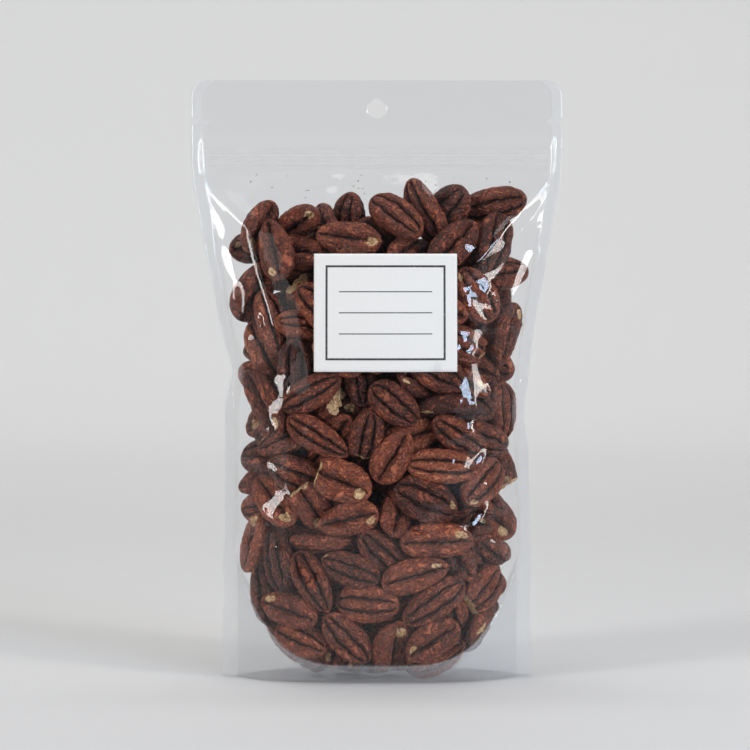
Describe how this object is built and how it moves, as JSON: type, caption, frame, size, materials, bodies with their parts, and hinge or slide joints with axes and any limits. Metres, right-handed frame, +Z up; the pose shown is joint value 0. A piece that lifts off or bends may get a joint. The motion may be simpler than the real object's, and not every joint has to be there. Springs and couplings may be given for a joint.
{
  "type": "filled stand-up pouch of pecan halves",
  "caption": "Clear zip-top stand-up pouch with a hang hole, a bottom gusset and a plain label, packed full of shelled pecan halves.",
  "frame": {"origin": "on the surface the pouch stands on, under the middle of its box", "axes": "+X to the pouch's right seen from the front, +Y to the back, +Z up; the label faces -Y"},
  "size_m": [0.18, 0.0646, 0.29],
  "materials": {
    "clear_film": "clear, glossy laminated film",
    "zipper_plastic": "translucent, glossy",
    "label_paper": "matt white label stock",
    "pecan_kernel": "reddish brown kernel skin, waxy, with cream scars"
  },
  "bodies": {
    "root": {"front_film": "clear_film", "back_film": "clear_film", "bottom_gusset": "clear_film", "zipper_front_track": "zipper_plastic", "zipper_back_track": "zipper_plastic", "label": "label_paper", "pecan_half_01": "pecan_kernel", "pecan_half_02": "pecan_kernel", "pecan_half_03": "pecan_kernel", "pecan_half_04": "pecan_kernel", "pecan_half_05": "pecan_kernel", "pecan_half_06": "pecan_kernel", "pecan_half_07": "pecan_kernel", "pecan_half_08": "pecan_kernel", "pecan_half_09": "pecan_kernel", "pecan_half_10": "pecan_kernel", "pecan_half_11": "pecan_kernel", "pecan_half_12": "pecan_kernel", "pecan_half_13": "pecan_kernel", "pecan_half_14": "pecan_kernel", "pecan_half_15": "pecan_kernel", "pecan_half_16": "pecan_kernel", "pecan_half_17": "pecan_kernel", "pecan_half_18": "pecan_kernel", "pecan_half_19": "pecan_kernel", "pecan_half_20": "pecan_kernel", "pecan_half_21": "pecan_kernel", "pecan_half_22": "pecan_kernel", "pecan_half_23": "pecan_kernel", "pecan_half_24": "pecan_kernel", "pecan_half_25": "pecan_kernel", "pecan_half_26": "pecan_kernel", "pecan_half_27": "pecan_kernel", "pecan_half_28": "pecan_kernel", "pecan_half_29": "pecan_kernel", "pecan_half_30": "pecan_kernel", "pecan_half_31": "pecan_kernel", "pecan_half_32": "pecan_kernel", "pecan_half_33": "pecan_kernel", "pecan_half_34": "pecan_kernel", "pecan_half_35": "pecan_kernel", "pecan_half_36": "pecan_kernel", "pecan_half_37": "pecan_kernel", "pecan_half_38": "pecan_kernel", "pecan_half_39": "pecan_kernel", "pecan_half_40": "pecan_kernel", "pecan_half_41": "pecan_kernel", "pecan_half_42": "pecan_kernel", "pecan_half_43": "pecan_kernel", "pecan_half_44": "pecan_kernel", "pecan_half_45": "pecan_kernel", "pecan_half_46": "pecan_kernel", "pecan_fill_1": "pecan_kernel", "pecan_fill_2": "pecan_kernel", "pecan_fill_3": "pecan_kernel", "pecan_fill_4": "pecan_kernel", "pecan_fill_5": "pecan_kernel"}
  },
  "joints": []
}
